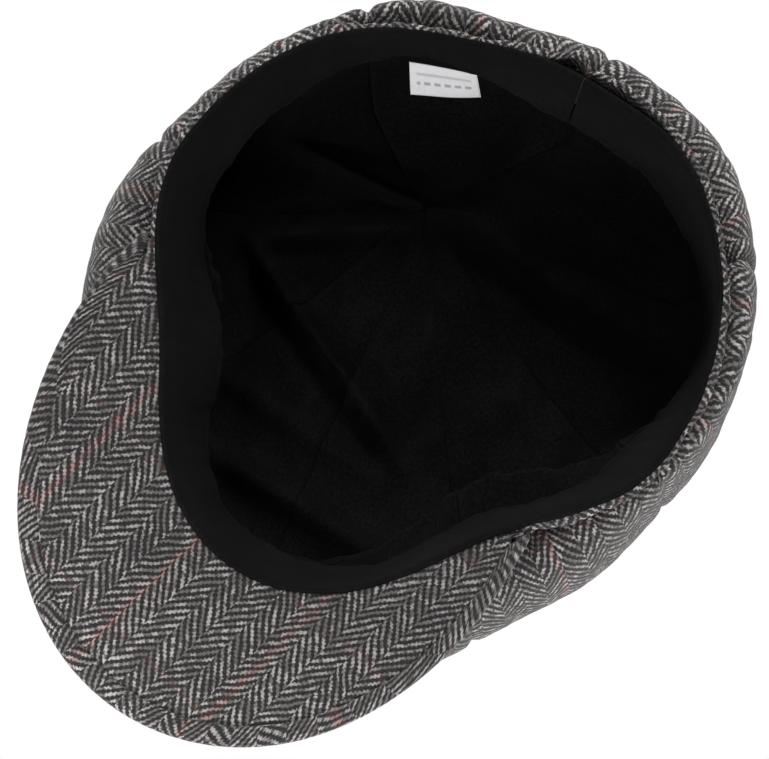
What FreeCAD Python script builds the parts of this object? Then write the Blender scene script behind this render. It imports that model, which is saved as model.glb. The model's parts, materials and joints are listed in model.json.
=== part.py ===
"""Newsboy cap: eight-gore crown, headband, sweatband, stiff visor, lining, covered button and label.

Frame: +Z up with the cap upright as worn, -Y towards the visor, +X towards the wearer's left.
Origin: centre of the head opening, in the plane of the band's lower edge.  Millimetres.
Every surface is given by an angle round the cap, 0 at the front and positive to the wearer's left,
and by a radius and a height at that angle.
"""
import FreeCAD, Part
import math
import os

# Head opening: outer face of the band at its lower edge
half_width = 94.0
half_length = 100.0
front_taper = 13.0        # the curved visor draws the front of the opening in at both sides
front_rise = 28.0         # the arched visor lifts the middle of the front edge

# Soft places: (angle, how far the cloth is pressed in or leans in there); below zero it stands out
band_dents = ((-60.0, 6.0), (25.0, -4.5), (160.0, 10.0))
crown_dents = ((-150.0, -6.0), (-120.0, -2.0), (-60.0, 6.5), (-20.0, -6.5), (70.0, 3.0), (115.0, 6.0),
               (165.0, 8.0))
lean_changes = ((-126.0, -8.0), (-90.0, 6.0), (-45.0, 3.0), (0.0, 7.0), (54.0, 10.0), (144.0, -11.0))
dent_spread = 26.0        # degrees over which a soft place fades

# Headband
band_height = 22.0
band_wall = 1.4
hem_wall = 1.0
hem_height = 8.0
back_seam_gap = 0.3
edge_trim = 0.1           # the back of the lower edge is pressed flat by this much

# Sweatband and elastic
sweat_height = 32.0
sweat_wall = 0.8
sweat_set_up = 0.5        # the sweatband's fold sits just above the band's lower edge
lean_mean = 7.5           # how far the band leans inwards over the sweatband's height
elastic_width = 16.0
elastic_half_angle = 14.0

# Crown
crown_height = 104.0
crown_wall = 1.4
crown_overhang = 10.4
crown_shift_left = 5.6
crown_shift_front = -1.7
widest_height = 44.0
widest_follow = 0.6       # share of the front rise that the widest line follows
crown_sag = 6.0           # the soft crown hangs a little between the seam and its widest line
lining_sag = 2.0
shoulder = 0.07           # extra height of the shoulders
gore_fullness = 1.6
gore_count = 8

# Lining
lining_gap = 3.6
lining_wall = 0.5

# Visor
visor_depth = 55.5
visor_turn = 5.0          # the visor's middle sits a little to the wearer's left
visor_half_angle = 66.0
cover_half_angle = 63.0
board_half_angle = 58.0
visor_slope = 0.03
visor_side_slope = 0.46
visor_twist = 0.55        # the right side of the visor is bent down more than the left
board_wall = 1.6
cover_wall = 1.3
wrap_width = 6.0
visor_lift = 0.3          # underside of the visor above the band's edge
visor_seam_gap = 0.05
board_inset = 1.5

# Covered button
button_radius = 11.5
button_rise = 6.0
button_cloth = 1.1
button_metal = 0.5
back_plate_wall = 1.0
shank_radius = 2.0
eyelet_radius = 3.0       # hole where the gore tips meet

# Care label
label_angle = 150.0
label_width = 23.0
label_length = 16.0
label_wall = 0.3
label_lean = 15.0
label_clearance = 2.0
label_hinge_rise = 0.8

FULL_TURN = 360.0


def wrapped(angle):
    """The angle in degrees, brought between -180 and 180."""
    return (angle + 180.0) % FULL_TURN - 180.0


def dented(angle, dents):
    """How far the soft places press the cloth in at an angle."""
    depths = [depth * math.exp(-((wrapped(angle - centre) / dent_spread) ** 2)) for centre, depth in dents]
    return sum(depths)


def rim_radius(angle):
    """Outer radius of the band's lower edge: an ellipse, drawn in at both sides of the front."""
    turn = math.radians(angle)
    ellipse = 1.0 / math.hypot(math.sin(turn) / half_width, math.cos(turn) / half_length)
    taper = 0.0
    if math.cos(turn) > 0.0:
        taper = front_taper * math.sin(2.0 * turn) ** 2
    return ellipse - taper - dented(angle, band_dents)


def rim_height(angle):
    """Height of the band's lower edge: flat round the back, arched up over the visor."""
    return front_rise * max(0.0, math.cos(math.radians(angle))) ** 2


def lean(angle):
    """Inward lean of the band over the whole height of the sweatband."""
    return lean_mean + dented(angle, lean_changes)


def band_face(angle, height):
    """Radius of the band's outer face at a height above the table."""
    rise = height - rim_height(angle)
    return rim_radius(angle) - lean(angle) * rise / sweat_height


def place(angle, radius, height):
    """The point at an angle, a radius and a height."""
    turn = math.radians(angle)
    return FreeCAD.Vector(radius * math.sin(turn), -radius * math.cos(turn), height)


def outline_wire(angle, runs):
    """Closed wire in the upright plane at one angle.

    Each run is a list of (radius, height) pairs that starts where the run before it ends.  A run of
    two is a straight edge and a longer one is a smooth curve.
    """
    edges = []
    for run in runs:
        points = [place(angle, radius, height) for radius, height in run]
        if len(points) == 2:
            edges.append(Part.LineSegment(points[0], points[1]).toShape())
        else:
            curve = Part.BSplineCurve()
            curve.interpolate(points)
            edges.append(curve.toShape())
    return Part.Wire(edges)


def polygon_runs(corners):
    """The straight runs round a closed outline."""
    return [[corners[index - 1], corners[index]] for index in range(len(corners))]


def swept(section, start, end, steps):
    """Solid through the sections from one angle to another."""
    wires = []
    for index in range(steps + 1):
        angle = start + (end - start) * index / steps
        wires.append(outline_wire(angle, section(angle)))
    return Part.makeLoft(wires, True, False, False)


# ---------------------------------------------------------------- band pieces

def headband_section(angle):
    """Tweed band with its hem turned up inside, between the rim and the crown seam."""
    low = rim_height(angle) - edge_trim
    hem = rim_height(angle) + hem_height
    top = rim_height(angle) + band_height
    return polygon_runs([
        (band_face(angle, low), low),
        (band_face(angle, top), top),
        (band_face(angle, top) - band_wall, top),
        (band_face(angle, hem) - band_wall, hem),
        (band_face(angle, hem) - band_wall - hem_wall, hem),
        (band_face(angle, low) - band_wall - hem_wall, low),
    ])


def strip_section(angle, low, high, inset, wall):
    """Flat strip that lies parallel to the band's face, a distance inside it."""
    return polygon_runs([
        (band_face(angle, low) - inset, low),
        (band_face(angle, high) - inset, high),
        (band_face(angle, high) - inset - wall, high),
        (band_face(angle, low) - inset - wall, low),
    ])


def sweatband_section(angle):
    low = rim_height(angle) + sweat_set_up
    high = rim_height(angle) + sweat_height
    return strip_section(angle, low, high, band_wall + hem_wall, sweat_wall)


def elastic_section(angle):
    """Elastic tape in the pocket between the hem, the band and the sweatband."""
    low = rim_height(angle) + hem_height
    high = min(low + elastic_width, rim_height(angle) + band_height)
    return strip_section(angle, low, high, band_wall, hem_wall)


def make_bands():
    seam_half_angle = math.degrees(back_seam_gap / 2.0 / half_length)
    start = 180.0 + seam_half_angle
    end = 180.0 + FULL_TURN - seam_half_angle
    steps = 72
    back = 180.0
    reach = 2.0 * (half_width + half_length)
    table = Part.makeBox(2.0 * reach, 2.0 * reach, reach, FreeCAD.Vector(-reach, -reach, -reach))
    return {
        "headband": swept(headband_section, start, end, steps).cut(table),
        "sweatband": swept(sweatband_section, start, end, steps),
        "back_elastic": swept(elastic_section, back - elastic_half_angle, back + elastic_half_angle, 6),
    }


# ---------------------------------------------------------------- crown and lining

def widest_radius(angle):
    """Radius of the crown's widest line, moved a little left and back of the opening."""
    turn = math.radians(angle)
    across = math.sin(turn) / (half_width + crown_overhang)
    along = math.cos(turn) / (half_length + crown_overhang)
    shift = crown_shift_left * math.sin(turn) + crown_shift_front * math.cos(turn)
    return 1.0 / math.hypot(across, along) + shift - dented(angle, crown_dents)


def fullness(angle):
    """How far a gore stands out between its two seams."""
    return gore_fullness * (1.0 - math.cos(math.radians(angle * gore_count))) / 2.0


def dome_points(angle, foot_radius, foot_height, inset, sag_depth):
    """Curve from the foot, out to the widest line and over the top to the eyelet.

    A quarter ellipse, hanging a little, carries the cloth from the foot to the widest line; a second
    one, with raised shoulders, carries it to the top.  The inset moves the curve inwards and down.
    """
    samples = 7
    wide = widest_radius(angle) - inset
    level = widest_height + widest_follow * rim_height(angle)
    top = crown_height - inset
    points = []
    for index in range(samples):
        turn = math.pi / 2.0 * index / samples
        swell = fullness(angle) * math.sin(turn)
        radius = foot_radius + (wide - foot_radius) * math.sin(turn) + swell
        sag = sag_depth * math.sin(2.0 * turn)
        points.append((radius, level - (level - foot_height) * math.cos(turn) - sag))
    last_turn = math.acos(eyelet_radius / wide)
    for index in range(samples + 1):
        turn = last_turn * index / samples
        swell = fullness(angle) * math.cos(turn)
        rise = math.sin(turn) + shoulder * math.sin(2.0 * turn)
        points.append((wide * math.cos(turn) + swell, level + (top - level) * rise))
    return points


def gore_runs(angle, foot_height, foot_radius, seat, inset, wall, sag_depth):
    """Outline of a gore: a flat seat on the strip below it, then the dome, back along the inside."""
    outer = dome_points(angle, foot_radius, foot_height, inset, sag_depth)
    inner = dome_points(angle, foot_radius, foot_height + wall, inset + wall, sag_depth)
    outer_seat = (foot_radius - seat, foot_height)
    inner_seat = (foot_radius - seat, foot_height + wall)
    return [
        [outer_seat, outer[0]],
        outer,
        [outer[-1], inner[-1]],
        inner[::-1],
        [inner[0], inner_seat],
        [inner_seat, outer_seat],
    ]


def crown_section(angle):
    """Tweed gore: it is sewn on top of the band's upper edge."""
    foot_height = rim_height(angle) + band_height
    foot_radius = band_face(angle, foot_height)
    return gore_runs(angle, foot_height, foot_radius, band_wall, 0.0, crown_wall, crown_sag)


def lining_section(angle):
    """Lining gore: it is sewn on top of the sweatband and lies loosely inside the crown."""
    foot_height = rim_height(angle) + sweat_height
    foot_radius = band_face(angle, foot_height) - band_wall - hem_wall
    inset = crown_wall + lining_gap
    return gore_runs(angle, foot_height, foot_radius, sweat_wall, inset, lining_wall, lining_sag)


def make_gores():
    gores = {}
    width = FULL_TURN / gore_count
    steps = 9
    for index in range(gore_count):
        start = index * width
        gores[f"crown_panel_{index + 1}"] = swept(crown_section, start, start + width, steps)
        gores[f"lining_panel_{index + 1}"] = swept(lining_section, start, start + width, steps)
    return gores


# ---------------------------------------------------------------- visor

def visor_reach(angle):
    """Distance from the band to the visor's edge."""
    share = (angle - visor_turn) / visor_half_angle
    return visor_depth * (1.0 - share * share) ** 1.1


def visor_middle(angle, reach):
    """Height of the visor's middle surface at a distance from the band."""
    start = rim_height(angle) + visor_lift + board_wall / 2.0 + cover_wall
    side = math.sin(math.radians(angle - visor_turn))
    slope = visor_slope + visor_side_slope * side * side * (1.0 - visor_twist * side)
    return start - slope * reach


def visor_point(angle, reach, offset):
    """(radius, height) at a distance from the band and above or below the middle surface."""
    height = visor_middle(angle, reach) + offset
    if reach == 0.0:
        return band_face(angle, height) + visor_seam_gap, height
    return rim_radius(angle) + reach, height


def board_section(angle):
    edge = visor_reach(angle) - cover_wall
    half = board_wall / 2.0
    return polygon_runs([
        visor_point(angle, board_inset, half),
        visor_point(angle, edge, half),
        visor_point(angle, edge, -half),
        visor_point(angle, board_inset, -half),
    ])


def upper_cover_section(angle):
    """Upper tweed, carried round the board's edge and a little way under it."""
    edge = visor_reach(angle)
    inner_edge = edge - cover_wall
    half = board_wall / 2.0
    outer_half = half + cover_wall
    shoulder_reach = edge - cover_wall / 2.0
    wrap = edge - wrap_width
    return polygon_runs([
        visor_point(angle, 0.0, half),
        visor_point(angle, 0.0, outer_half),
        visor_point(angle, inner_edge, outer_half),
        visor_point(angle, shoulder_reach, half + cover_wall / 2.0),
        visor_point(angle, edge, 0.0),
        visor_point(angle, shoulder_reach, -half - cover_wall / 2.0),
        visor_point(angle, inner_edge, -outer_half),
        visor_point(angle, wrap, -outer_half),
        visor_point(angle, wrap, -half),
        visor_point(angle, inner_edge, -half),
        visor_point(angle, inner_edge, half),
    ])


def lower_cover_section(angle):
    """Lower tweed, from the band to the turned edge of the upper tweed."""
    edge = visor_reach(angle) - wrap_width
    half = board_wall / 2.0
    return polygon_runs([
        visor_point(angle, 0.0, -half),
        visor_point(angle, edge, -half),
        visor_point(angle, edge, -half - cover_wall),
        visor_point(angle, 0.0, -half - cover_wall),
    ])


def make_visor():
    steps = 26
    board_ends = (visor_turn - board_half_angle, visor_turn + board_half_angle)
    upper_ends = (visor_turn - cover_half_angle, visor_turn + cover_half_angle)
    return {
        "visor_board": swept(board_section, *board_ends, steps),
        "visor_upper_cover": swept(upper_cover_section, *upper_ends, steps),
        "visor_lower_cover": swept(lower_cover_section, *board_ends, steps),
    }


# ---------------------------------------------------------------- covered button

def crown_top_height(radius):
    """Highest point of the crown's outer face at a radius near its middle."""
    heights = []
    for angle in range(0, 360, 5):
        wide = widest_radius(angle)
        level = widest_height + widest_follow * rim_height(angle)
        turn = math.acos(min(1.0, radius / wide))
        rise = math.sin(turn) + shoulder * math.sin(2.0 * turn)
        heights.append(level + (crown_height - level) * rise)
    return max(heights)


def domed_disc(radius, rise, base):
    """Solid button head: a flat base and a domed top."""
    sphere_radius = (radius * radius + rise * rise) / (2.0 * rise)
    centre = FreeCAD.Vector(0.0, 0.0, base + rise - sphere_radius)
    ball = Part.makeSphere(sphere_radius, centre)
    slab = Part.makeCylinder(radius, rise * 2.0, FreeCAD.Vector(0.0, 0.0, base))
    return ball.common(slab)


def make_button():
    """Cloth over a pressed metal shell, closed by a back plate with a shank."""
    seat = crown_top_height(button_radius)
    whole = domed_disc(button_radius, button_rise, seat)
    shell_outer = domed_disc(button_radius - button_cloth, button_rise - button_cloth, seat)
    wall = button_cloth + button_metal
    hollow = domed_disc(button_radius - wall, button_rise - wall, seat)
    plate = Part.makeCylinder(button_radius - wall, back_plate_wall, FreeCAD.Vector(0.0, 0.0, seat))
    shank_length = seat - crown_height + crown_wall + lining_gap / 2.0
    shank_foot = FreeCAD.Vector(0.0, 0.0, seat - shank_length)
    shank = Part.makeCylinder(shank_radius, shank_length, shank_foot)
    return {
        "button_cover": whole.cut(shell_outer),
        "button_shell": shell_outer.cut(hollow),
        "button_back": plate.common(hollow).fuse(shank).removeSplitter(),
    }


# ---------------------------------------------------------------- care label

def sweatband_edge(angle):
    """Point on the inner corner of the sweatband's upper edge."""
    height = rim_height(angle) + sweat_height
    return place(angle, band_face(angle, height) - band_wall - hem_wall - sweat_wall, height)


def make_label():
    """Folded satin label, sewn in where the sweatband meets the lining and lying along that edge."""
    middle = sweatband_edge(label_angle)
    reach = math.degrees(label_width / 2.0 / math.hypot(middle.x, middle.y))
    along = sweatband_edge(label_angle + reach) - sweatband_edge(label_angle - reach)
    turn = math.degrees(math.atan2(along.y, along.x))
    corner = FreeCAD.Vector(-label_width / 2.0, 0.0, 0.0)
    plate = Part.makeBox(label_width, label_wall, label_length, corner)
    plate.rotate(FreeCAD.Vector(0, 0, 0), FreeCAD.Vector(1, 0, 0), -label_lean)
    plate.rotate(FreeCAD.Vector(0, 0, 0), FreeCAD.Vector(0, 0, 1), turn)
    inwards = FreeCAD.Vector(-along.y, along.x, 0.0).normalize()
    plate.translate(middle + inwards * label_clearance + FreeCAD.Vector(0.0, 0.0, label_hinge_rise))
    return {"care_label": plate}


def main():
    os.makedirs("parts", exist_ok=True)
    pieces = {}
    pieces.update(make_bands())
    pieces.update(make_gores())
    pieces.update(make_visor())
    pieces.update(make_button())
    pieces.update(make_label())
    for name, shape in pieces.items():
        shape.exportStep(f"parts/{name}.step")
        box = shape.BoundBox
        print(f"{name}: valid {shape.isValid()}, solids {len(shape.Solids)}, volume {shape.Volume:.0f},"
              f" z {box.ZMin:.2f} to {box.ZMax:.2f}")


main()
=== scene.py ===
"""Newsboy cap in grey herringbone tweed, with a black lining.  Metres, in the cap's own frame."""
import json
import bpy
import numpy as np
from mathutils import Matrix, Vector


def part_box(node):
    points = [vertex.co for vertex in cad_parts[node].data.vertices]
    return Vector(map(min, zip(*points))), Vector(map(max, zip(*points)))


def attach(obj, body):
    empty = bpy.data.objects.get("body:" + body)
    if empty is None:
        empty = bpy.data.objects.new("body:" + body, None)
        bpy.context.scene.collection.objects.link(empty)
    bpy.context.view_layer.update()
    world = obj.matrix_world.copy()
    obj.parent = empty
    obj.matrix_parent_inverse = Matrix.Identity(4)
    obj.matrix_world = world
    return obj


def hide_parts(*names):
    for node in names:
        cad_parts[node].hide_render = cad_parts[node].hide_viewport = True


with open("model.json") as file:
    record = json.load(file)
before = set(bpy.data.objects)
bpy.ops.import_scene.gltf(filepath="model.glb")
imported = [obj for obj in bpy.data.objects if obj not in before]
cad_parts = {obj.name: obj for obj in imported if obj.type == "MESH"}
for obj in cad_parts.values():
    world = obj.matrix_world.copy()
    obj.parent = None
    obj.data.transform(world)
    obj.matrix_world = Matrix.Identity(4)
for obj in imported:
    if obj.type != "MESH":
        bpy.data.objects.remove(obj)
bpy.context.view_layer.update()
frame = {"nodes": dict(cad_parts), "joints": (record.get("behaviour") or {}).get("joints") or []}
mm = 0.001

# ---------------------------------------------------------------- Camera
# A long lens under the cap looks up into the head opening, from a little to the wearer's right of
# the front.  The cap's back-to-front line runs across the view at an angle.
camera_azimuth = np.radians(-32.3)
camera_elevation = np.radians(-76.6)
camera_distance = 1.083
camera_aim = Vector((-4.3, -26.7, 5.9)) * mm
back_in_view = np.radians(53.9)      # direction of the cap's back, up from the view's right

to_camera = Vector((np.sin(camera_azimuth) * np.cos(camera_elevation),
                    -np.cos(camera_azimuth) * np.cos(camera_elevation),
                    np.sin(camera_elevation)))
back = Vector((0, 1, 0))
back_across = (back - to_camera * back.dot(to_camera)).normalized()
side_across = back_across.cross(to_camera)
view_up = back_across * np.sin(back_in_view) - side_across * np.cos(back_in_view)
view_right = back_across * np.cos(back_in_view) + side_across * np.sin(back_in_view)

camera_data = bpy.data.cameras.new("camera")
camera_data.lens = 162.3
camera_data.sensor_width = 36.0
camera_data.clip_start = 0.05
camera_data.clip_end = 20.0
camera = bpy.data.objects.new("camera", camera_data)
bpy.context.scene.collection.objects.link(camera)
turned = Matrix((view_right, view_up, to_camera)).transposed()
camera.matrix_world = Matrix.Translation(camera_aim + to_camera * camera_distance) @ turned.to_4x4()
bpy.context.scene.camera = camera

# ---------------------------------------------------------------- Studio
# A pale floor that only shows from above, soft lamps above and below, and a white surround.
bpy.context.scene.view_settings.view_transform = "Standard"


def node_tree(material):
    """The material's nodes, emptied, with an output node."""
    material.use_nodes = True
    tree = material.node_tree
    tree.nodes.clear()
    return tree, tree.nodes.new("ShaderNodeOutputMaterial")


def make_floor():
    """Square of pale paper under the cap.  From below, and for lamp light, it is clear."""
    reach = 3.0
    mesh = bpy.data.meshes.new("floor")
    corners = [(-reach, -reach, 0), (reach, -reach, 0), (reach, reach, 0), (-reach, reach, 0)]
    mesh.from_pydata(corners, [], [(0, 1, 2, 3)])
    floor = bpy.data.objects.new("floor", mesh)
    bpy.context.scene.collection.objects.link(floor)
    material = bpy.data.materials.new("floor")
    tree, output = node_tree(material)
    paper = tree.nodes.new("ShaderNodeBsdfDiffuse")
    paper.inputs["Color"].default_value = (0.9, 0.9, 0.9, 1)
    clear = tree.nodes.new("ShaderNodeBsdfTransparent")
    facing = tree.nodes.new("ShaderNodeNewGeometry")
    path = tree.nodes.new("ShaderNodeLightPath")
    either = tree.nodes.new("ShaderNodeMath")
    either.operation = "MAXIMUM"
    tree.links.new(facing.outputs["Backfacing"], either.inputs[0])
    tree.links.new(path.outputs["Is Shadow Ray"], either.inputs[1])
    mix = tree.nodes.new("ShaderNodeMixShader")
    tree.links.new(either.outputs[0], mix.inputs[0])
    tree.links.new(paper.outputs[0], mix.inputs[1])
    tree.links.new(clear.outputs[0], mix.inputs[2])
    tree.links.new(mix.outputs[0], output.inputs["Surface"])
    mesh.materials.append(material)


def make_surround():
    """White where the camera, gloss or glass sees it, and a plainer light on everything else."""
    world = bpy.data.worlds.new("surround")
    bpy.context.scene.world = world
    world.use_nodes = True
    tree = world.node_tree
    tree.nodes.clear()
    output = tree.nodes.new("ShaderNodeOutputWorld")
    seen = tree.nodes.new("ShaderNodeBackground")
    seen.inputs["Color"].default_value = (1, 1, 1, 1)
    seen.inputs["Strength"].default_value = 1.0
    light = tree.nodes.new("ShaderNodeBackground")
    light.inputs["Color"].default_value = (1, 1, 1, 1)
    light.inputs["Strength"].default_value = 0.56
    path = tree.nodes.new("ShaderNodeLightPath")
    glossy_or_clear = tree.nodes.new("ShaderNodeMath")
    glossy_or_clear.operation = "MAXIMUM"
    tree.links.new(path.outputs["Is Glossy Ray"], glossy_or_clear.inputs[0])
    tree.links.new(path.outputs["Is Transmission Ray"], glossy_or_clear.inputs[1])
    any_of_them = tree.nodes.new("ShaderNodeMath")
    any_of_them.operation = "MAXIMUM"
    tree.links.new(path.outputs["Is Camera Ray"], any_of_them.inputs[0])
    tree.links.new(glossy_or_clear.outputs[0], any_of_them.inputs[1])
    mix = tree.nodes.new("ShaderNodeMixShader")
    tree.links.new(any_of_them.outputs[0], mix.inputs[0])
    tree.links.new(light.outputs[0], mix.inputs[1])
    tree.links.new(seen.outputs[0], mix.inputs[2])
    tree.links.new(mix.outputs[0], output.inputs["Surface"])


def make_lamp(name, place, power, size):
    """Square soft lamp at a place, turned to the middle of the cap."""
    data = bpy.data.lights.new(name, "AREA")
    data.energy = power
    data.size = size
    lamp = bpy.data.objects.new(name, data)
    bpy.context.scene.collection.objects.link(lamp)
    lamp.location = place
    lamp.rotation_euler = (Vector((0, 0, 0.05)) - Vector(place)).to_track_quat("-Z", "Y").to_euler()


make_floor()
make_surround()
make_lamp("lamp_above_left", (-1.1, -1.0, 1.5), 22.0, 1.0)
make_lamp("lamp_above_right", (1.3, 0.5, 1.3), 12.0, 1.2)
lamp_below = camera_aim + 1.0 * to_camera + 0.5 * view_right + 0.95 * view_up
make_lamp("lamp_below", lamp_below, 9.5, 0.35)
lamp_below_front = camera_aim + 0.55 * to_camera - 0.25 * view_right - 1.05 * view_up
make_lamp("lamp_below_front", lamp_below_front, 12.5, 0.4)
lamp_back = camera_aim + 0.28 * to_camera + 0.3 * view_right + 1.25 * view_up
make_lamp("lamp_back", lamp_back, 12.0, 0.7)
lamp_below_left = camera_aim + 1.0 * to_camera - 0.55 * view_right + 0.1 * view_up
make_lamp("lamp_below_left", lamp_below_left, 3.2, 0.4)

# ---------------------------------------------------------------- Headband
# Strip of the tweed between the crown and the head opening.  Its lower edge is folded up inside as
# a hem, and its ends are sewn together at the back, where the seam allowance makes a small lump.
headband_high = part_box("headband")[1]
elastic_low, elastic_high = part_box("back_elastic")
sweat_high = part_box("sweatband")[1].z
half_width = headband_high.x
half_length = half_width + 6 * mm
band_height = elastic_high.z
hem_height = elastic_low.z
front_rise = headband_high.z - band_height
sweat_height = sweat_high - front_rise
front_taper = 13 * mm
band_wall = 1.4 * mm
dent_spread = 26.0
lean_mean = 7.5 * mm
band_dents = ((-60, 6 * mm), (25, -4.5 * mm), (160, 10 * mm))
lean_changes = ((-126, -8 * mm), (-90, 6 * mm), (-45, 3 * mm), (0, 7 * mm), (54, 10 * mm),
                (144, -11 * mm))
visor_turn = 5.0
visor_half_angle = 66.0
back_lump_angle = 176.5
back_lump = 3.4 * mm
lift_over_visor = 3 * mm
hem_share = 0.9                      # the hem lies this share of the fold's width inside the face


def wrapped(angle):
    """Angle in degrees brought between -180 and 180."""
    return (angle + 180) % 360 - 180


def hill(distance, width):
    """1 at no distance, falling like a bell over the width: exp(-(distance / width) squared)."""
    return np.exp(-(distance / width) ** 2)


def dented(angle, dents):
    """Sum over the soft places of depth times a bell of the angle from each."""
    return sum(depth * hill(wrapped(angle - centre), dent_spread) for centre, depth in dents)


def rim_radius(angle):
    """An ellipse, less front_taper times sine squared of twice the angle in front, less the dents."""
    turn = np.radians(angle)
    ellipse = 1 / np.hypot(np.sin(turn) / half_width, np.cos(turn) / half_length)
    taper = np.where(np.cos(turn) > 0, front_taper * np.sin(2 * turn) ** 2, 0)
    return ellipse - taper - dented(angle, band_dents)


def rim_height(angle):
    """front_rise times the cosine squared in front, and level round the back."""
    return front_rise * np.maximum(0, np.cos(np.radians(angle))) ** 2


def band_face(angle, rise):
    """Radius of the band's outer face at a rise above its lower edge: it leans in as it rises."""
    return rim_radius(angle) - (lean_mean + dented(angle, lean_changes)) * rise / sweat_height


def place(angle, radius, height):
    """Points at angles round the cap, 0 at the front and positive to the wearer's left."""
    turn = np.radians(angle)
    return np.stack([radius * np.sin(turn), -radius * np.cos(turn), height + 0 * turn], axis=-1)


def ripple(angle, waves):
    """Sum of sines round the cap, each given as (waves in a turn, height, phase)."""
    turn = np.radians(angle)
    return sum(height * np.sin(count * turn + phase) for count, height, phase in waves)


def run_length(points, axis):
    """Distance run along the rows or columns of a grid of points, from its first."""
    steps = np.linalg.norm(np.diff(points, axis=axis), axis=-1)
    return np.insert(np.cumsum(steps, axis=axis), 0, 0, axis=axis)


def face_out(points):
    """Unit normal at each point of a grid: the cross product of its two gradients."""
    down, across = np.gradient(points, axis=0), np.gradient(points, axis=1)
    normal = np.cross(across, down)
    return normal / np.maximum(np.linalg.norm(normal, axis=-1, keepdims=True), 1e-12)


def grid_piece(name, points, weave, closed=False):
    """Object whose faces join neighbours in a grid of points.

    The face's outside is the side of across cross down.  The weave is the flat place of each point
    in the cloth, kept as the UV map "weave" in metres.
    """
    rows, columns = points.shape[:2]
    index = np.arange(rows * columns).reshape(rows, columns)
    if closed:
        index = np.hstack([index, index[:, :1]])
    corners = np.stack([index[:-1, :-1], index[:-1, 1:], index[1:, 1:], index[1:, :-1]], axis=-1)
    corners = corners.reshape(-1, 4)[:, ::-1]
    mesh = bpy.data.meshes.new(name)
    mesh.vertices.add(rows * columns)
    mesh.vertices.foreach_set("co", points.astype(np.float32).ravel())
    mesh.loops.add(corners.size)
    mesh.loops.foreach_set("vertex_index", corners.astype(np.int32).ravel())
    mesh.polygons.add(len(corners))
    mesh.polygons.foreach_set("loop_start", np.arange(0, corners.size, 4, dtype=np.int32))
    layer = mesh.uv_layers.new(name="weave")
    layer.data.foreach_set("uv", weave.reshape(-1, 2)[corners.ravel()].astype(np.float32).ravel())
    mesh.update(calc_edges=True)
    mesh.validate()
    mesh.shade_smooth()
    piece = bpy.data.objects.new(name, mesh)
    bpy.context.scene.collection.objects.link(piece)
    return piece


def thicken(piece, wall):
    """Gives the cloth its wall, on the inner side of its faces."""
    solid = piece.modifiers.new("cloth", "SOLIDIFY")
    solid.thickness = wall
    solid.offset = -1.0
    solid.use_quality_normals = True


def finish_piece(piece, material, nodes, body="cap"):
    """Material, body, replaced nodes and material slot of a new piece."""
    piece.data.materials.append(material)
    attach(piece, body)
    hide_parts(*nodes)


class Sum:
    """A node's output that can be added, multiplied and so on, to write a pattern as a formula."""

    def __init__(self, tree, socket):
        """Keeps the tree to add nodes to, and the socket that holds the value."""
        self.tree = tree
        self.socket = socket

    def math(self, operation, *values):
        """Math node's output for this value and others, each a number or another output."""
        node = self.tree.nodes.new("ShaderNodeMath")
        node.operation = operation
        for slot_index, value in enumerate((self,) + values):
            if isinstance(value, Sum):
                self.tree.links.new(value.socket, node.inputs[slot_index])
            else:
                node.inputs[slot_index].default_value = value
        return Sum(self.tree, node.outputs[0])

    def __add__(self, other):
        return self.math("ADD", other)

    def __sub__(self, other):
        return self.math("SUBTRACT", other)

    def __mul__(self, other):
        return self.math("MULTIPLY", other)

    def floor(self):
        """The whole number at or below the value."""
        return self.math("FLOOR")

    def ramp(self, start, end):
        """0 up to the start, 1 from the end, and a smooth ramp between."""
        node = self.tree.nodes.new("ShaderNodeMapRange")
        node.interpolation_type = "SMOOTHSTEP"
        self.tree.links.new(self.socket, node.inputs["Value"])
        node.inputs["From Min"].default_value = start
        node.inputs["From Max"].default_value = end
        return Sum(self.tree, node.outputs["Result"])


def vector_of(tree, *parts):
    """Vector socket with the given parts."""
    node = tree.nodes.new("ShaderNodeCombineXYZ")
    for slot_index, part in enumerate(parts):
        tree.links.new(part.socket, node.inputs[slot_index])
    return node.outputs[0]


def noise(tree, coordinates, scale, detail=2.0, roughness=0.5):
    """Cloudy value about 0.5, with features of about one over the scale in metres."""
    node = tree.nodes.new("ShaderNodeTexNoise")
    node.inputs["Scale"].default_value = scale
    node.inputs["Detail"].default_value = detail
    node.inputs["Roughness"].default_value = roughness
    tree.links.new(coordinates, node.inputs["Vector"])
    return Sum(tree, node.outputs["Fac"])


def speck(tree, coordinates):
    """Even random value from 0 to 1 for each whole place."""
    node = tree.nodes.new("ShaderNodeTexWhiteNoise")
    node.noise_dimensions = "3D"
    tree.links.new(coordinates, node.inputs["Vector"])
    return Sum(tree, node.outputs["Value"])


def blend_colours(tree, share, first, second):
    """Colour between two colours or colour sockets, by a share."""
    node = tree.nodes.new("ShaderNodeMix")
    node.data_type = "RGBA"
    tree.links.new(share.socket, node.inputs["Factor"])
    for name, colour in (("A", first), ("B", second)):
        socket = [entry for entry in node.inputs if entry.name == name and entry.type == "RGBA"][0]
        if isinstance(colour, tuple):
            socket.default_value = colour + (1,)
        else:
            tree.links.new(colour, socket)
    return [entry for entry in node.outputs if entry.type == "RGBA"][0]


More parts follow.
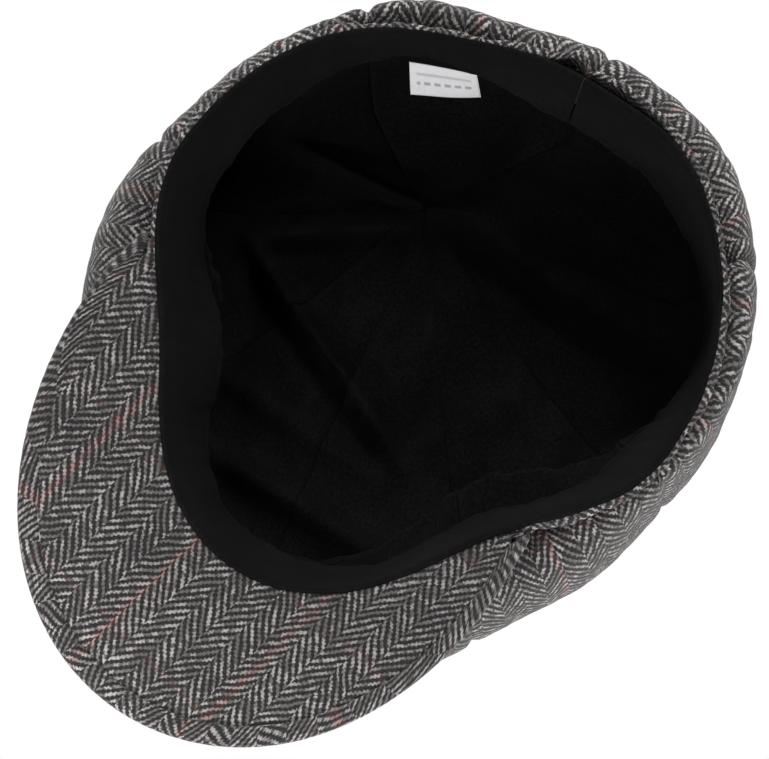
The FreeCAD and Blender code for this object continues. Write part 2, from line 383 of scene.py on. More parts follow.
def cloth_shader(tree, output, colour, height, depth, roughness, sheen, gloss=0.2):
    """Matt cloth: a colour socket, a height to bump by, and its roughness, sheen and gloss."""
    shader = tree.nodes.new("ShaderNodeBsdfPrincipled")
    tree.links.new(colour, shader.inputs["Base Color"])
    shader.inputs["Roughness"].default_value = roughness
    shader.inputs["Specular IOR Level"].default_value = gloss
    shader.inputs["Sheen Weight"].default_value = sheen
    shader.inputs["Sheen Roughness"].default_value = 0.5
    bump = tree.nodes.new("ShaderNodeBump")
    bump.inputs["Strength"].default_value = 1.0
    bump.inputs["Distance"].default_value = depth
    tree.links.new(height.socket, bump.inputs["Height"])
    tree.links.new(bump.outputs[0], shader.inputs["Normal"])
    tree.links.new(shader.outputs[0], output.inputs["Surface"])


def weave_places(tree):
    """The cloth's own two directions, across and along its grain, in metres."""
    source = tree.nodes.new("ShaderNodeUVMap")
    source.uv_map = "weave"
    parts = tree.nodes.new("ShaderNodeSeparateXYZ")
    tree.links.new(source.outputs[0], parts.inputs[0])
    return source.outputs[0], Sum(tree, parts.outputs[0]), Sum(tree, parts.outputs[1])


def tweed_material():
    """Herringbone: rows of slanting light strokes on dark, turned over in each column of the cloth.

    With a zigzag across the columns, a stroke is where the cosine of (along times sine of the slant
    plus zigzag times its cosine) over the stroke's pitch is high, shifted by half a pitch in every
    other column.  Each stroke is beaded, and rust lines run along and across the grain.
    """
    column = 7.65 * mm
    stroke_pitch = 2.15 * mm
    bead_pitch = 1.45 * mm
    slant = np.radians(40)
    line_pitch = 42.6 * mm
    line_half_width = 1.0 * mm
    cross_line_pitch = 46 * mm
    material = bpy.data.materials.new("tweed")
    tree, output = node_tree(material)
    flat, across, along = weave_places(tree)
    across = across + (noise(tree, flat, 130.0) - 0.5) * (1.8 * mm)
    along = along + (noise(tree, flat, 90.0) - 0.5) * (2.6 * mm)

    column_count = across * (1 / column)
    column_number = column_count.floor()
    odd = column_number.math("MODULO", 2.0).math("ABSOLUTE")
    zigzag = (column_count * 0.5).math("PINGPONG", 0.5) * (2 * column)
    stroke = (along * np.sin(slant) + zigzag * np.cos(slant)) * (1 / stroke_pitch) + odd * 0.5
    run = (along * np.cos(slant) - zigzag * np.sin(slant)) * (1 / bead_pitch)
    run = run + speck(tree, vector_of(tree, stroke.floor(), column_number, odd))
    ridge = (stroke * (2 * np.pi)).math("COSINE") * 0.5 + 0.5
    bead = (run * (2 * np.pi)).math("COSINE") * 0.5 + 0.5
    fibre = noise(tree, flat, 1500.0, 3.0, 0.7)
    mottle = noise(tree, flat, 45.0, 3.0)
    light_here = (ridge * 0.8 + bead * 0.3 + (fibre - 0.5) * 1.1 + (mottle - 0.5) * 0.4).ramp(0.39, 0.91)

    stroke_middle = (stroke + 0.5).floor()
    tone = speck(tree, vector_of(tree, stroke_middle, run.floor(), column_number))
    light = blend_colours(tree, tone.ramp(0.35, 1.0), (0.13, 0.121, 0.118), (0.44, 0.41, 0.401))
    to_line = (across * (1 / line_pitch)).math("PINGPONG", 0.5) * line_pitch
    line = to_line.ramp(1.5 * line_half_width, 0.7 * line_half_width)
    strand = noise(tree, flat, 300.0)
    rusty = blend_colours(tree, line * strand.ramp(0.3, 0.6) * 0.8, light, (0.38, 0.245, 0.235))
    dark = blend_colours(tree, fibre.ramp(0.4, 0.8), (0.011, 0.0105, 0.011), (0.058, 0.054, 0.053))
    to_cross = (along * (1 / cross_line_pitch)).math("PINGPONG", 0.5) * cross_line_pitch
    cross = to_cross.ramp(1.1 * mm, 0.5 * mm) * strand.ramp(0.35, 0.65)
    dark = blend_colours(tree, cross + line * 0.5, dark, (0.06, 0.022, 0.023))
    colour = blend_colours(tree, light_here, dark, rusty)
    height = light_here * 0.6 + bead * ridge * 0.4 + fibre * 0.35
    cloth_shader(tree, output, colour, height, 0.55 * mm, 0.9, 0.12)
    return material


def headband_points():
    """The cloth's face, from the crown seam down the outside, round the fold and up to the hem.

    Its radius is the band's face plus low sums of sines for softness and gathers, fullness halfway
    up, and a bell for the lump at the back seam.  Its fold is a half circle, raised over the visor.
    """
    angle = np.linspace(-180 + 0.15, 180 - 0.15, 861)[None, :]
    fold = 1.5 * mm
    tuck = 1 * mm
    fold_turn = np.linspace(0, np.pi, 9)
    rise = np.concatenate([np.linspace(band_height + tuck, fold, 16)[:-1],
                           fold - fold * np.sin(fold_turn),
                           np.linspace(fold, hem_height, 6)[1:]])[:, None]
    inward = np.concatenate([np.zeros(15), fold * (1 - np.cos(fold_turn)), np.full(5, 2 * fold)])[:, None]
    softness = ripple(angle, ((9, 0.5, 0.4), (17, 0.35, 2.0), (31, 0.25, 1.1))) * mm
    fullness = 1.1 * mm * np.sin(np.pi * np.clip(rise / band_height, 0, 1))
    lump = back_lump * hill(wrapped(angle - back_lump_angle), 2.6) * hill(rise - 4 * mm, 14 * mm)
    nip = -1.3 * mm * hill(wrapped(angle - 180), 0.8)
    gathers = ripple(angle, ((83, 0.22, 0.3), (131, 0.16, 1.7), (197, 0.1, 0.9))) * mm
    outer = 1 - inward / (2 * fold)
    soft_face = band_face(angle, rise) - hem_share * inward + (softness + gathers) * outer
    radius = soft_face + fullness + lump + nip
    lift = np.abs(ripple(angle, ((7, 0.4, 1.0), (23, 0.3, 0.0)))) * mm
    over_visor = 1 / (1 + np.exp((np.abs(wrapped(angle - visor_turn)) - visor_half_angle + 3) / 1.5))
    lift = lift + lift_over_visor * over_visor * (1 - rise / (band_height + tuck))
    points = place(angle + 0 * rise, radius, rise + rim_height(angle) + lift)
    weave = np.stack([run_length(points, 1).mean(axis=0, keepdims=True) + 0 * rise,
                      run_length(points, 0)], axis=-1)
    return points, weave


tweed = tweed_material()
headband = grid_piece("headband_tweed", *headband_points())
thicken(headband, 1.1 * mm)
finish_piece(headband, tweed, ["headband"])

# ---------------------------------------------------------------- Sweatband
# Strip of black cotton sewn inside the band's fold.  Its upper edge is turned in and held by a row
# of small stitches, and at the back it stands off the tweed where the elastic draws it in.
sweat_inset = 3.1 * mm
stand_off = 3.6 * mm
stand_off_angle = 187.0
stand_off_spread = 13.0


def standing_off(angle, rise):
    """How far the elastic holds the sweatband off the tweed: a bell at the back, most at the foot."""
    share = hill(wrapped(angle - stand_off_angle), stand_off_spread)
    return stand_off * share * (1 - 0.6 * rise / sweat_height)


def sweat_face(angle, rise, inset):
    """Point on the sweatband's layers at a rise above the rim, an inset inside the band's face."""
    softness = ripple(angle, ((8, 0.45, 2.2), (19, 0.3, 0.7), (37, 0.16, 1.9))) * mm * rise / sweat_height
    creases = ripple(angle, ((61, 0.12, 0.0), (97, 0.1, 2.0))) * mm * rise / sweat_height
    radius = band_face(angle, rise) - inset - standing_off(angle, rise) - softness - creases
    return place(angle + 0 * rise, radius, rise + rim_height(angle))


def sweatband_points():
    """The inner face from its fold at the rim up to the lining, with a piped lower edge."""
    angle = np.linspace(180.2, 539.8, 721)[None, :]
    pipe = 0.8 * mm
    pipe_turn = np.linspace(0, np.pi, 7)
    wall_rise = np.linspace(2.6 * mm, sweat_height, 22)
    rise = np.concatenate([0.9 * mm + pipe * (1 - np.sin(pipe_turn)), wall_rise])
    inset = np.concatenate([sweat_inset - pipe * (1 - (1 - np.cos(pipe_turn)) / 2) - 0.1 * mm,
                            np.full(22, sweat_inset)])
    rise, inset = rise[:, None], inset[:, None]
    top_roll = 0.7 * mm * hill(rise - (sweat_height - 1.2 * mm), 1.4 * mm)
    stitch_groove = -0.45 * mm * hill(rise - (sweat_height - 3.4 * mm), 0.5 * mm)
    points = sweat_face(angle, rise, inset + top_roll + stitch_groove)
    weave = np.stack([run_length(points, 1).mean(axis=0, keepdims=True) + 0 * rise,
                      run_length(points, 0)], axis=-1)
    return points[::-1], weave[::-1]


def plain_cotton(name, dark, pale, threads, depth, roughness, sheen):
    """Plain weave: the sines of the two thread directions multiplied, with worn and dusty patches."""
    material = bpy.data.materials.new(name)
    tree, output = node_tree(material)
    flat, across, along = weave_places(tree)
    warp = (across * (2 * np.pi * threads)).math("SINE")
    weft = (along * (2 * np.pi * threads)).math("SINE")
    worn = noise(tree, flat, 38.0, 4.0, 0.6)
    lint = noise(tree, flat, 900.0, 2.0)
    share = worn * 0.6 + warp * weft * 0.12 + (lint - 0.5) * 0.7
    colour = blend_colours(tree, share.ramp(0.05, 0.75), dark, pale)
    cloth_shader(tree, output, colour, warp * weft * 0.5 + lint, depth, roughness, sheen, 0.04)
    return material


def stitch_row(name, angles, rise, inset, length, width):
    """Row of thread stitches on the sweatband: each a small six-sided spindle along the rim."""
    along = np.array([-0.5, -0.25, 0.25, 0.5])
    thick = np.array([0.25, 1.0, 1.0, 0.25])
    turn = np.arange(6) * np.pi / 3
    middle = sweat_face(angles[None, :], np.full((1, 1), rise), inset)[0]
    ahead = sweat_face(angles[None, :] + 0.1, np.full((1, 1), rise), inset)[0] - middle
    ahead /= np.linalg.norm(ahead, axis=-1, keepdims=True)
    upward = np.array([0.0, 0.0, 1.0])
    inward = np.cross(upward, ahead)
    ring = (along[:, None, None, None] * length * ahead[None, None]
            + thick[:, None, None, None] * width / 2
            * (np.cos(turn)[None, :, None, None] * upward + np.sin(turn)[None, :, None, None] * inward))
    points = (middle + ring).transpose(2, 0, 1, 3)
    count = len(angles)
    index = np.arange(count * 24).reshape(count, 4, 6)
    nearer, further = index[:, :-1], index[:, 1:]
    sides = np.stack([nearer, np.roll(nearer, -1, 2), np.roll(further, -1, 2), further], -1).reshape(-1, 4)
    ends = np.concatenate([index[:, 0, ::-1], index[:, -1]])
    mesh = bpy.data.meshes.new(name)
    mesh.from_pydata(points.reshape(-1, 3).tolist(), [], sides.tolist() + ends.tolist())
    mesh.uv_layers.new(name="weave")
    mesh.shade_smooth()
    row = bpy.data.objects.new(name, mesh)
    bpy.context.scene.collection.objects.link(row)
    return row


def thread_material(name, colour):
    """Twisted thread with a little fluff, in object coordinates."""
    material = bpy.data.materials.new(name)
    tree, output = node_tree(material)
    source = tree.nodes.new("ShaderNodeTexCoord")
    fluff = noise(tree, source.outputs["Object"], 2500.0, 2.0)
    darker = tuple(0.5 * part for part in colour)
    shade = blend_colours(tree, fluff.ramp(0.3, 0.7), darker, colour)
    cloth_shader(tree, output, shade, fluff, 0.1 * mm, 0.75, 0.2)
    return material


sweat_cotton = plain_cotton("sweatband_cotton", (0.0042, 0.0042, 0.0043), (0.0132, 0.0128, 0.0132),
                            1600.0, 0.12 * mm, 0.9, 0.012)
sweatband = grid_piece("sweatband_cotton", *sweatband_points())
thicken(sweatband, 0.7 * mm)
finish_piece(sweatband, sweat_cotton, ["sweatband"])

stitches = stitch_row("sweatband_stitches", np.arange(-179.0, 179.0, 1.9), sweat_height - 3.4 * mm,
                      sweat_inset - 0.25 * mm, 2.1 * mm, 0.45 * mm)
stitches.data.materials.append(thread_material("black_thread", (0.03, 0.028, 0.028)))
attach(stitches, "cap")

# ---------------------------------------------------------------- Back elastic
# Brown-black woven tape between the hem and the sweatband.  Its lower edge shows at the back, with
# a dark gap between it and the tweed.
elastic_half_angle = 17.0


def elastic_points():
    """The tape's inner and outer faces and both edges, as one closed ring carried round the back."""
    angle = (stand_off_angle + np.linspace(-elastic_half_angle, elastic_half_angle, 121))[None, :]
    low, high = 0.7 * mm, band_height - 2 * mm
    up = np.linspace(0.1, 0.9, 14)
    share = np.concatenate([[0.04, 0.0, 0.0, 0.04], up, [0.96, 1.0, 1.0, 0.96], up[::-1]])[:, None]
    over_edge = np.array([0.0, 0.25, 0.75, 1.0])
    layer = np.concatenate([over_edge, np.ones(14), over_edge[::-1], np.zeros(14)])[:, None]
    rise = low + (high - low) * share
    wave = 0.25 * mm * np.sin(np.radians(angle) * 150)
    inset = sweat_inset - 1.0 * mm + 0.9 * mm * layer + wave * (1 - share)
    fade = hill(wrapped(angle - stand_off_angle), stand_off_spread)
    inset = inset * fade + (1 - fade) * (band_wall + 0.15 * mm + 0.8 * mm * layer)
    points = sweat_face(angle, rise, inset)
    weave = np.stack([run_length(points, 1).mean(axis=0, keepdims=True) + 0 * rise,
                      run_length(points, 0)], axis=-1)
    return points, weave


def tape_material():
    """Ribbed tape: ribs across its width, with brown and black yarns mixed."""
    material = bpy.data.materials.new("elastic_tape")
    tree, output = node_tree(material)
    flat, across, along = weave_places(tree)
    rib = (across * (2 * np.pi * 1100.0)).math("SINE") * 0.5 + 0.5
    yarn = noise(tree, flat, 700.0, 3.0)
    mixed = (yarn * 0.7 + rib * 0.3).ramp(0.3, 0.7)
    colour = blend_colours(tree, mixed, (0.006, 0.005, 0.005), (0.045, 0.032, 0.027))
    cloth_shader(tree, output, colour, rib + yarn * 0.6, 0.25 * mm, 0.7, 0.2)
    return material


elastic = grid_piece("back_elastic_tape", *elastic_points())
finish_piece(elastic, tape_material(), ["back_elastic"])

# ---------------------------------------------------------------- Crown gores
# Eight shaped pieces of the tweed, each cut with its grain up the middle and sewn to its neighbours
# with turned-in allowances.  The soft cloth hangs over the band and is drawn in where it joins it.
crown_overhang = 10.4 * mm
crown_shift_left = 5.6 * mm
crown_shift_front = -1.7 * mm
crown_dents = ((-150, -6 * mm), (-120, -2 * mm), (-60, 6.5 * mm), (-20, -6.5 * mm), (75, -1 * mm),
               (115, 9.5 * mm), (165, 8 * mm))
widest_height = 44 * mm
widest_follow = 0.6
crown_sag = 12.5 * mm
shoulder = 0.07
eyelet_radius = 3 * mm
crown_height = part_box("button_cover")[0].z - 0.6 * mm
gore_count = 8
gore_width = 360 / gore_count


def widest_radius(angle):
    """An ellipse crown_overhang outside the rim's, moved left and back, less the crown's dents."""
    turn = np.radians(angle)
    across = np.sin(turn) / (half_width + crown_overhang)
    along = np.cos(turn) / (half_length + crown_overhang)
    shift = crown_shift_left * np.sin(turn) + crown_shift_front * np.cos(turn)
    return 1 / np.hypot(across, along) + shift - dented(angle, crown_dents)


def dome(angle, run, foot, inset, sag, tip):
    """Radius and height of a gored shell at an angle, with the run going from 0 at its foot to 1.

    Up to a third of the run, a quarter ellipse goes from the foot out to the widest line, less a sag
    times the sine of twice its turn.  From there another quarter ellipse with raised shoulders goes
    over to the tip's radius.
    """
    foot_radius, foot_height = foot
    wide = widest_radius(angle) - inset
    level = widest_height + widest_follow * rim_height(angle)
    bend = 0.33
    low_turn = np.pi / 2 * np.clip(run / bend, 0, 1)
    high_turn = np.arccos(tip / wide) * np.clip((run - bend) / (1 - bend), 0, 1)
    low_radius = foot_radius + (wide - foot_radius) * np.sin(low_turn)
    low_height = level - (level - foot_height) * np.cos(low_turn) - sag * np.sin(2 * low_turn)
    high_radius = wide * np.cos(high_turn)
    rise = np.sin(high_turn) + shoulder * np.sin(2 * high_turn)
    high_height = level + (crown_height - inset - level) * rise
    low = run < bend
    return np.where(low, low_radius, high_radius), np.where(low, low_height, high_height)


def crown_surface(angle, run):
    """The crown's face before its seams: the dome, slumped and rippled, and gathered at its foot."""
    foot = (band_face(angle, band_height) + 0.3 * mm, rim_height(angle) + band_height)
    sag = crown_sag * (1 + 0.25 * np.sin(np.radians(3 * angle + 40)))
    radius, height = dome(angle, run, foot, 0, sag, eyelet_radius)
    over_side = np.sin(np.pi * np.clip(run, 0, 1))
    swell = 0.6 * mm * (1 - np.cos(np.radians(angle * gore_count))) * over_side - 0.6 * mm
    slump = ripple(angle, ((5, 1.0, 0.8), (11, 0.7, 2.1))) * mm * np.sin(3 * np.pi * run + np.radians(angle))
    slump = slump * np.clip(2 * over_side, 0, 1)
    gather = np.exp(-run / 0.17) * np.minimum(1, run / 0.02)
    puckers = ripple(angle, ((47, 0.55, 0.2), (71, 0.4, 1.4), (113, 0.28, 2.6))) * mm * gather
    crush = 1.2 * mm * np.sin(np.radians(angle) * 2 + 9 * run) * over_side ** 2
    return place(angle + 0 * run, radius + swell + puckers + slump + crush, height - 0.5 * (slump + crush))


def seam_shape(points, share, width_here, depth, reach):
    """Presses a gore's face in beside both its seams, by a bell of the distance to the nearer."""
    to_seam = (0.5 - np.abs(share)) * width_here
    press = depth * hill(to_seam, reach)
    return points - face_out(points) * press[..., None]


def gore_weave(points, share):
    """Flat place in a gore: across from its middle line, and along that line from the foot."""
    across_run = run_length(points, 1)
    middle = points.shape[1] // 2
    across = across_run - across_run[:, middle:middle + 1]
    along = run_length(points, 0)[:, middle:middle + 1] + 0 * share
    return np.stack([across, along], axis=-1)


def make_crown_gore(number):
    """One gore: its face, pressed in at both seams, with the allowances turned in past them."""
    allowance = 1.4 * mm
    share = np.concatenate([[-0.5], np.linspace(-0.5, 0.5, 59), [0.5]])[None, :]
    run = np.linspace(0, 1, 118)[:, None] ** 0.9
    angle = (number - 0.5 + share) * gore_width
    face = crown_surface(angle, run)
    width_here = np.maximum(run_length(face, 1)[:, -1:], 0.1 * mm)
    points = seam_shape(face[:, 1:-1], share[:, 1:-1], width_here, 1.8 * mm, 1.9 * mm)
    outward = face_out(face[:, 1:-1])
    first = points[:, :1] - outward[:, :1] * np.minimum(allowance, width_here[..., None])
    last = points[:, -1:] - outward[:, -1:] * np.minimum(allowance, width_here[..., None])
    points = np.concatenate([first, points, last], axis=1)
    weave = gore_weave(points, share)
    weave[..., 0] += 11.3 * mm * number
    weave[..., 1] += 17.9 * mm * number
    gore = grid_piece(f"crown_gore_{number}", points, weave)
    thicken(gore, 1.2 * mm)
    finish_piece(gore, tweed, [f"crown_panel_{number}"])


for number in range(1, gore_count + 1):
    make_crown_gore(number)

# ---------------------------------------------------------------- Visor
# White board between two layers of the tweed.  The upper layer is rolled round the board's edge and
# sewn down underneath, so that the lower layer meets it in a crease that follows the front edge.
visor_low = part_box("visor_upper_cover")[0]
cover_half_angle = 64.5
visor_depth = -visor_low.y - float(rim_radius(visor_turn))
board_wall = 1.6 * mm
cover_wall = 1.3 * mm
visor_lift = 0.3 * mm
visor_slope = 0.03
visor_side_slope = 0.46
visor_twist = 0.55                   # the wearer's right side falls further than the left
band_run_in = 6 * mm                 # the visor follows the leaning band over this reach
roll_width = 7.5 * mm
grain_turn = np.radians(9.5)


def visor_reach(angle):
    """visor_depth times (1 - share squared) to the 1.1, where the share is of the visor's half angle."""
    share = (angle - visor_turn) / visor_half_angle
    return visor_depth * np.maximum(0, 1 - share ** 2) ** 1.1


def visor_point(angle, reach, offset):
    """Point at a distance from the band and above or below the visor's bent middle surface."""
    side = np.sin(np.radians(angle - visor_turn))
    slope = visor_slope + visor_side_slope * side ** 2 * (1 - visor_twist * side)
    start = rim_height(angle) + visor_lift + board_wall / 2 + cover_wall
    softness = 0.35 * mm * np.sin(np.radians(angle) * 9 + 90 * reach) * np.minimum(1, reach / (20 * mm))
    height = start - slope * reach + offset + softness
    near = band_face(angle, height - rim_height(angle)) + 0.2 * mm
    share = np.clip(reach / band_run_in, 0, 1)
    height = height + 0.35 * np.maximum(0, -reach)
    return place(angle + 0 * reach, near * (1 - share) + rim_radius(angle) * share + reach, height)


def flat_weave(angle, reach, turn, shift):
    """Flat place of a visor point in its cloth, whose grain is turned off the front-to-back line."""
    spot = place(angle, rim_radius(angle) + reach, 0 * reach)
    across = spot[..., 0] * np.cos(turn) + spot[..., 1] * np.sin(turn) + shift
    along = spot[..., 1] * np.cos(turn) - spot[..., 0] * np.sin(turn)
    return np.stack([across, along], axis=-1)


def upper_cover_points():
    """Top of the visor from the band to its edge, round the edge and back under it."""
    angle = (visor_turn + np.linspace(-cover_half_angle, cover_half_angle, 261))[None, :]
    edge = visor_reach(angle)
    half = board_wall / 2 + cover_wall
    roll = np.minimum(roll_width, 0.7 * edge + 0.4 * mm)
    top = np.linspace(0, 1, 40)[:, None]
    turn = np.linspace(0, np.pi, 13)[1:, None]
    under = np.linspace(0, 1, 12)[1:, None]
    top_reach = (edge - half) * top + 0 * angle
    edge_reach = edge - half + half * np.sin(turn)
    under_reach = edge - half - (roll - half) * under
    reach = np.concatenate([top_reach, edge_reach, under_reach])
    plump = 0.5 * mm
    top_offset = half + 0 * top_reach + plump * hill(edge - half - top_reach, 4 * mm)
    edge_offset = (half + plump) * np.cos(turn) + 0 * angle
    under_offset = -half - plump * (1 - under ** 2) + 1.3 * mm * hill(1 - under, 0.16) + 0 * angle
    offset = np.concatenate([top_offset, edge_offset, under_offset])
    gathers = ripple(angle, ((140, 0.16, 0.0), (211, 0.12, 1.0))) * mm * hill(np.abs(reach - edge), 8 * mm)
    points = visor_point(angle, np.maximum(reach, 0), offset + gathers)
    spread = np.concatenate([top_reach, edge - half + half * turn,
                             edge - half + half * np.pi + (roll - half) * under])
    return points, flat_weave(angle + 0 * spread, spread, -0.5 * grain_turn, 3 * mm)


def lower_cover_points():
    """Underside of the visor, from the crease beside the rolled edge back under the band's fold."""
    angle = (visor_turn + np.linspace(-cover_half_angle + 1, cover_half_angle - 1, 241))[None, :]
    edge = np.maximum(visor_reach(angle) - roll_width + 1.2 * mm, 0.5 * mm)
    share = np.linspace(1, 0, 56)[:, None]
    half = board_wall / 2 + cover_wall
    tuck = 2.9 * mm * np.linspace(0.2, 1, 5)[:, None]
    reach = np.concatenate([edge * share, -tuck + 0 * edge])
    share = np.concatenate([share, 0 * tuck])
    crease = 1.5 * mm * hill(edge - reach, 1.5 * mm)
    line = edge * 0.72
    press = 0.45 * mm * hill(reach - line, 1.0 * mm) * np.minimum(1, edge / (25 * mm))
    offset = -half - 0.1 * mm + crease + press - 0.5 * mm * np.sin(np.pi * share)
    points = visor_point(angle, reach, offset)
    return points, flat_weave(angle + 0 * reach, reach, grain_turn, 0)


def board_material():
    """Pressed white board with a faint grain."""
    material = bpy.data.materials.new("visor_board")
    tree, output = node_tree(material)
    source = tree.nodes.new("ShaderNodeTexCoord")
    grain = noise(tree, source.outputs["Object"], 400.0, 4.0)
    colour = blend_colours(tree, grain.ramp(0.3, 0.7), (0.66, 0.65, 0.62), (0.8, 0.79, 0.77))
    cloth_shader(tree, output, colour, grain, 0.08 * mm, 0.6, 0.0)
    return material


def give_material(node, material):
    """Puts a material in place of a CAD node's own."""
    materials = frame["nodes"][node].data.materials
    materials.clear()
    materials.append(material)


upper_cover = grid_piece("visor_upper_tweed", *upper_cover_points())
thicken(upper_cover, 1.0 * mm)
finish_piece(upper_cover, tweed, ["visor_upper_cover"])
lower_cover = grid_piece("visor_lower_tweed", *lower_cover_points())
thicken(lower_cover, 1.0 * mm)
finish_piece(lower_cover, tweed, ["visor_lower_cover"])
give_material("visor_board", board_material())

# ---------------------------------------------------------------- Lining gores
# Eight pieces of thin black cotton, sewn to each other and to the sweatband's upper edge.  They lie
# loosely inside the crown, with their meeting point slipped to one side and the slack in folds.
lining_inset = 6.5 * mm
lining_sag = 2 * mm
lining_hang = 8 * mm                 # the loose lining sinks this far from the crown's middle
slipped = Vector((29, 46, 0)) * mm
# folds as start, end, drop towards the opening and half width, in millimetres
ridge_folds = (((54, -5), (0, -25), 13.0, 3.0), ((-52, -30), (-70, 8), 7.0, 6.0),
               ((62, 38), (34, 44), 6.0, 3.0), ((58, 12), (30, 36), 7.0, 3.5),
               ((-14, -62), (24, -64), 9.0, 5.0), ((14, -40), (48, -40), 6.0, 6.0))
shelf_fold = ((-82, 42), (7, 44), 18.0, 4.0)


def near_line(spot, start, end):
    """Distance to the line between two places, positive to its left, and a fade past both ends."""
    start, end = np.array(start) * mm, np.array(end) * mm
    length = np.linalg.norm(end - start)
    ahead = (end - start) / length
    offset = spot - start
    run = offset @ ahead
    aside = ahead[0] * offset[..., 1] - ahead[1] * offset[..., 0]
    past = np.maximum(0, np.maximum(-run, run - length))
    return aside, hill(past, 14 * mm)


def lining_surface(angle, run):
    """The dome inside the crown, its top slipped aside, kept under the crown and dropped in folds."""
    foot = (band_face(angle, sweat_height) - sweat_inset + 0.2 * mm, rim_height(angle) + sweat_height)
    radius, height = dome(angle, run, foot, lining_inset, lining_sag, 0.2 * mm)
    points = place(angle + 0 * run, radius, height)
    free = 1 - np.clip(np.hypot(radius, 4 * mm) / (86 * mm), 0, 1)
    points[..., 0] += slipped.x * free
    points[..., 1] += slipped.y * free
    spot = points[..., :2]
    turn = np.degrees(np.arctan2(spot[..., 0], -spot[..., 1]))
    wide = widest_radius(turn) - lining_inset
    level = widest_height + widest_follow * rim_height(turn)
    over = np.arccos(np.clip(np.hypot(spot[..., 0], spot[..., 1]) / wide, 0, 1))
    rise = np.sin(over) + shoulder * np.sin(2 * over)
    ceiling = level + (crown_height - lining_inset - level) * rise - 1 * mm
    points[..., 2] = np.minimum(points[..., 2], np.maximum(ceiling, level))
    drop = lining_hang * free
    for start, end, depth, width in ridge_folds:
        aside, fade = near_line(spot, start, end)
        drop = drop + depth * mm * hill(aside, width * mm) * fade
    aside, fade = near_line(spot, *shelf_fold[:2])
    shelf = 1 / (1 + np.exp(-aside / (shelf_fold[3] * mm * 0.35)))
    drop = drop + shelf_fold[2] * mm * shelf * fade
    slack = (np.sin(spot[..., 0] / (9 * mm) + 2 * np.sin(spot[..., 1] / (17 * mm)))
             + np.sin(spot[..., 1] / (12 * mm) - 1.5 * np.sin(spot[..., 0] / (21 * mm) + 1)))
    drop = drop + 1.0 * mm * slack
    points[..., 2] -= drop * np.clip((run - 0.1) / 0.25, 0, 1)
    creases = ripple(angle, ((29, 0.5, 1.0), (53, 0.35, 0.0))) * mm * np.exp(-run / 0.25)
    points[..., 0] += creases * np.sin(np.radians(angle))
    points[..., 1] -= creases * np.cos(np.radians(angle))
    return points


def make_lining_gore(number):
    """One lining gore, pressed back a little along both seams."""
    share = np.linspace(-0.5, 0.5, 57)[None, :]
    run = np.linspace(0, 1, 110)[:, None]
    angle = (number - 0.5 + share) * gore_width
    face = lining_surface(angle, run)
    width_here = run_length(face, 1)[:, -1:]
    points = seam_shape(face, share, width_here, -0.5 * mm, 1.5 * mm)
    gore = grid_piece(f"lining_gore_{number}", points, gore_weave(points, share))
    thicken(gore, 0.4 * mm)
    finish_piece(gore, lining_cotton, [f"lining_panel_{number}"])


lining_cotton = plain_cotton("lining_cotton", (0.0026, 0.0026, 0.0027), (0.014, 0.0136, 0.0138),
                             2200.0, 0.08 * mm, 0.88, 0.006)
for number in range(1, gore_count + 1):
    make_lining_gore(number)

# ---------------------------------------------------------------- Covered button
# Circle of the tweed drawn over a pressed metal shell and closed underneath, where the eight gores
# meet.  The shell and the shanked back plate are inside it.
button_low, button_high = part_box("button_cover")
button_radius = button_high.x
button_rise = button_high.z - button_low.z


def button_points():
    """Half an oval from the middle of the top to the edge, then tucked in under it with gathers."""
    angle = np.arange(0, 360, 2.5)[None, :]
    turn = np.linspace(0.03, 0.62 * np.pi, 30)[:, None]
    gathers = 0.25 * mm * np.sin(np.radians(angle) * 24) * np.clip(turn - 1.2, 0, 1)
    radius = button_radius * np.sin(turn) ** 0.9 + gathers
    height = button_low.z + 1.0 * mm + (button_rise - 1.0 * mm) * np.cos(turn)
    points = place(angle + 0 * turn, radius, height)
    return points, points[..., :2].copy()


def metal_material():
    """Tinned pressed steel with fine scratches."""
    material = bpy.data.materials.new("button_metal")
    tree, output = node_tree(material)
    source = tree.nodes.new("ShaderNodeTexCoord")
    scratches = noise(tree, source.outputs["Object"], 3000.0, 3.0)
    colour = blend_colours(tree, scratches.ramp(0.3, 0.7), (0.5, 0.5, 0.51), (0.66, 0.66, 0.67))
    cloth_shader(tree, output, colour, scratches, 0.02 * mm, 0.35, 0.0)
    shader = [node for node in tree.nodes if node.type == "BSDF_PRINCIPLED"][0]
    shader.inputs["Metallic"].default_value = 1.0
    return material


button = grid_piece("button_tweed", *button_points(), closed=True)
thicken(button, 0.9 * mm)
finish_piece(button, tweed, ["button_cover"])
button_metal = metal_material()
give_material("button_shell", button_metal)
give_material("button_back", button_metal)

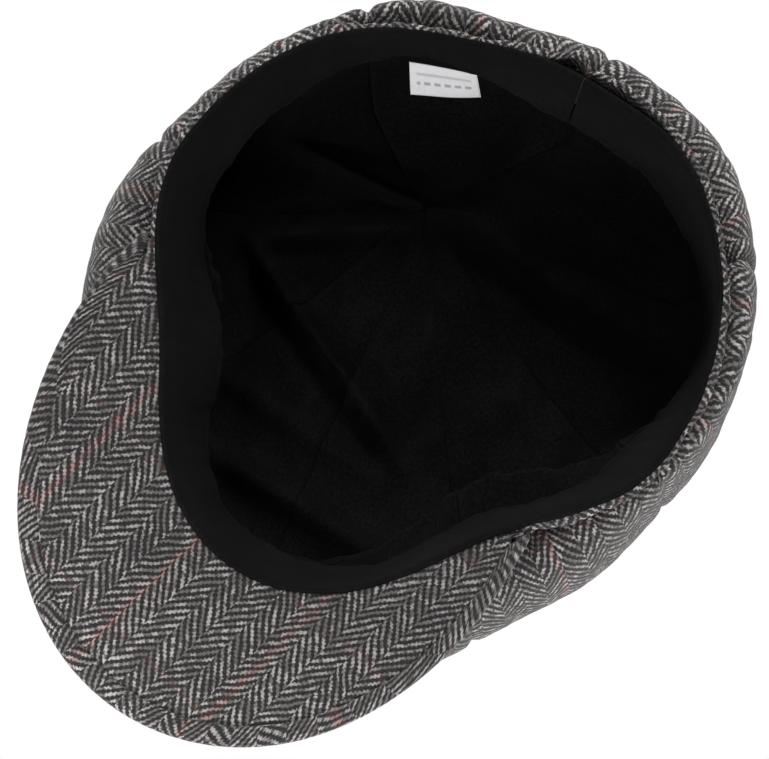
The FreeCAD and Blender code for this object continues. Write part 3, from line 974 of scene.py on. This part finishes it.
# ---------------------------------------------------------------- Care label
# White satin tab, folded double and caught in the seam between the sweatband and the lining.  It
# leans into the crown, and its print is a row of plain pale bars and dashes.
hinge = frame["joints"][0]
hinge_place = Vector(hinge.get("pos_m"))
hinge_axis = Vector(hinge.get("axis")).normalized()
label_width = 23 * mm
label_length = 16 * mm
label_lean = np.radians(15)
label_twist = np.radians(18)         # one end leans in further than the other
label_crooked = np.radians(9)        # the tab is sewn in a little crooked


def label_points():
    """Flat satin from the hinge up to its free edge, twisted, and curled a little at the end."""
    across = np.linspace(-0.5, 0.5, 33)[None, :] * label_width
    along = np.linspace(0, 1, 25)[:, None] * label_length
    upward = Vector((0, 0, 1))
    inward = hinge_axis.cross(upward)
    sideways = across * np.cos(label_crooked) - along * np.sin(label_crooked)
    reach = along * np.cos(label_crooked) + across * np.sin(label_crooked)
    lean = label_lean + label_twist * across / label_width
    curl = 0.5 * mm * (along / label_length) ** 2 * np.cos(4 * across / label_width + 0.6)
    rise = np.cos(lean) * reach
    lean_in = np.sin(lean) * reach + curl
    points = (np.array(hinge_place) + sideways[..., None] * np.array(hinge_axis)
              + rise[..., None] * np.array(upward) + lean_in[..., None] * np.array(inward))
    weave = np.stack([across + 0 * along, along + 0 * across], axis=-1)
    return points, weave


def satin_material():
    """White satin with one row of fine bars near the fold and a row of dashes below it."""
    material = bpy.data.materials.new("label_satin")
    tree, output = node_tree(material)
    flat, across, along = weave_places(tree)
    yarn = (across * (2 * np.pi * 2500.0)).math("SINE")
    cloud = noise(tree, flat, 300.0)
    white = blend_colours(tree, cloud.ramp(0.3, 0.7), (0.9, 0.9, 0.92), (0.95, 0.95, 0.96))
    inside = (across.math("ABSOLUTE")).ramp(9.5 * mm, 8.8 * mm)
    bar = (along - 5.2 * mm).math("ABSOLUTE").ramp(0.9 * mm, 0.5 * mm) * inside
    dash_row = (along - 9.8 * mm).math("ABSOLUTE").ramp(0.95 * mm, 0.6 * mm) * inside
    dashes = (across * (1 / (3.4 * mm))).math("FRACT").ramp(0.34, 0.42)
    ink = bar * 0.45 + dash_row * dashes * 0.75
    colour = blend_colours(tree, ink, white, (0.34, 0.3, 0.36))
    cloth_shader(tree, output, colour, yarn, 0.05 * mm, 0.5, 0.1)
    return material


label = grid_piece("care_label_satin", *label_points())
thicken(label, 0.25 * mm)
finish_piece(label, satin_material(), ["care_label"], body="label")
